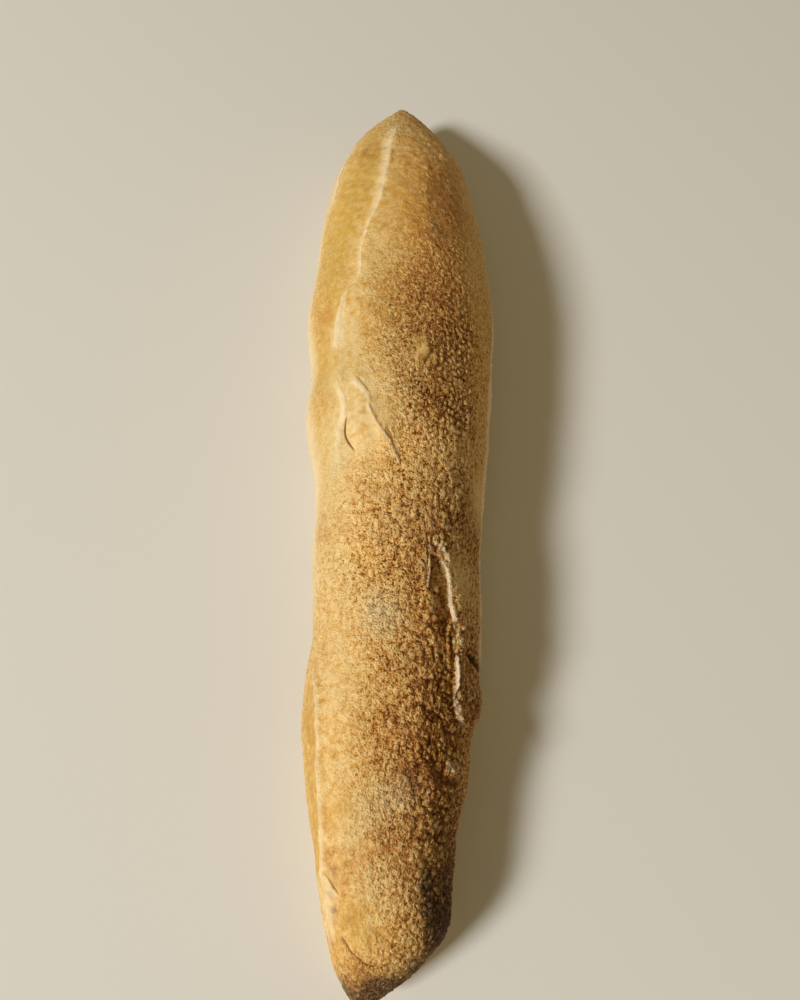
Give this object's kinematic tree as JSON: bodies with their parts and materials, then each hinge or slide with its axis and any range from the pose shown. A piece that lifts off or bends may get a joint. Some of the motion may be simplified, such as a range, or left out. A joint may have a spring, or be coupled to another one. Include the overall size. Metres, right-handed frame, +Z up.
{
  "type": "baguette",
  "caption": "Whole hand-shaped baguette, a long tapering loaf with a browned, floured crust torn open along its cuts, lying on its flat base.",
  "frame": {"origin": "middle of the loaf's bounding box, on the surface that it lies on", "axes": "+Y along the loaf from its narrow end to its broad end, +Z up from the flat base to the crown, +X across the loaf, to the right when looking along +Y"},
  "size_m": [0.073, 0.35, 0.0492],
  "materials": {
    "crust": "matte browned bread crust with flour"
  },
  "bodies": {
    "root": {"loaf": "crust"}
  },
  "joints": []
}
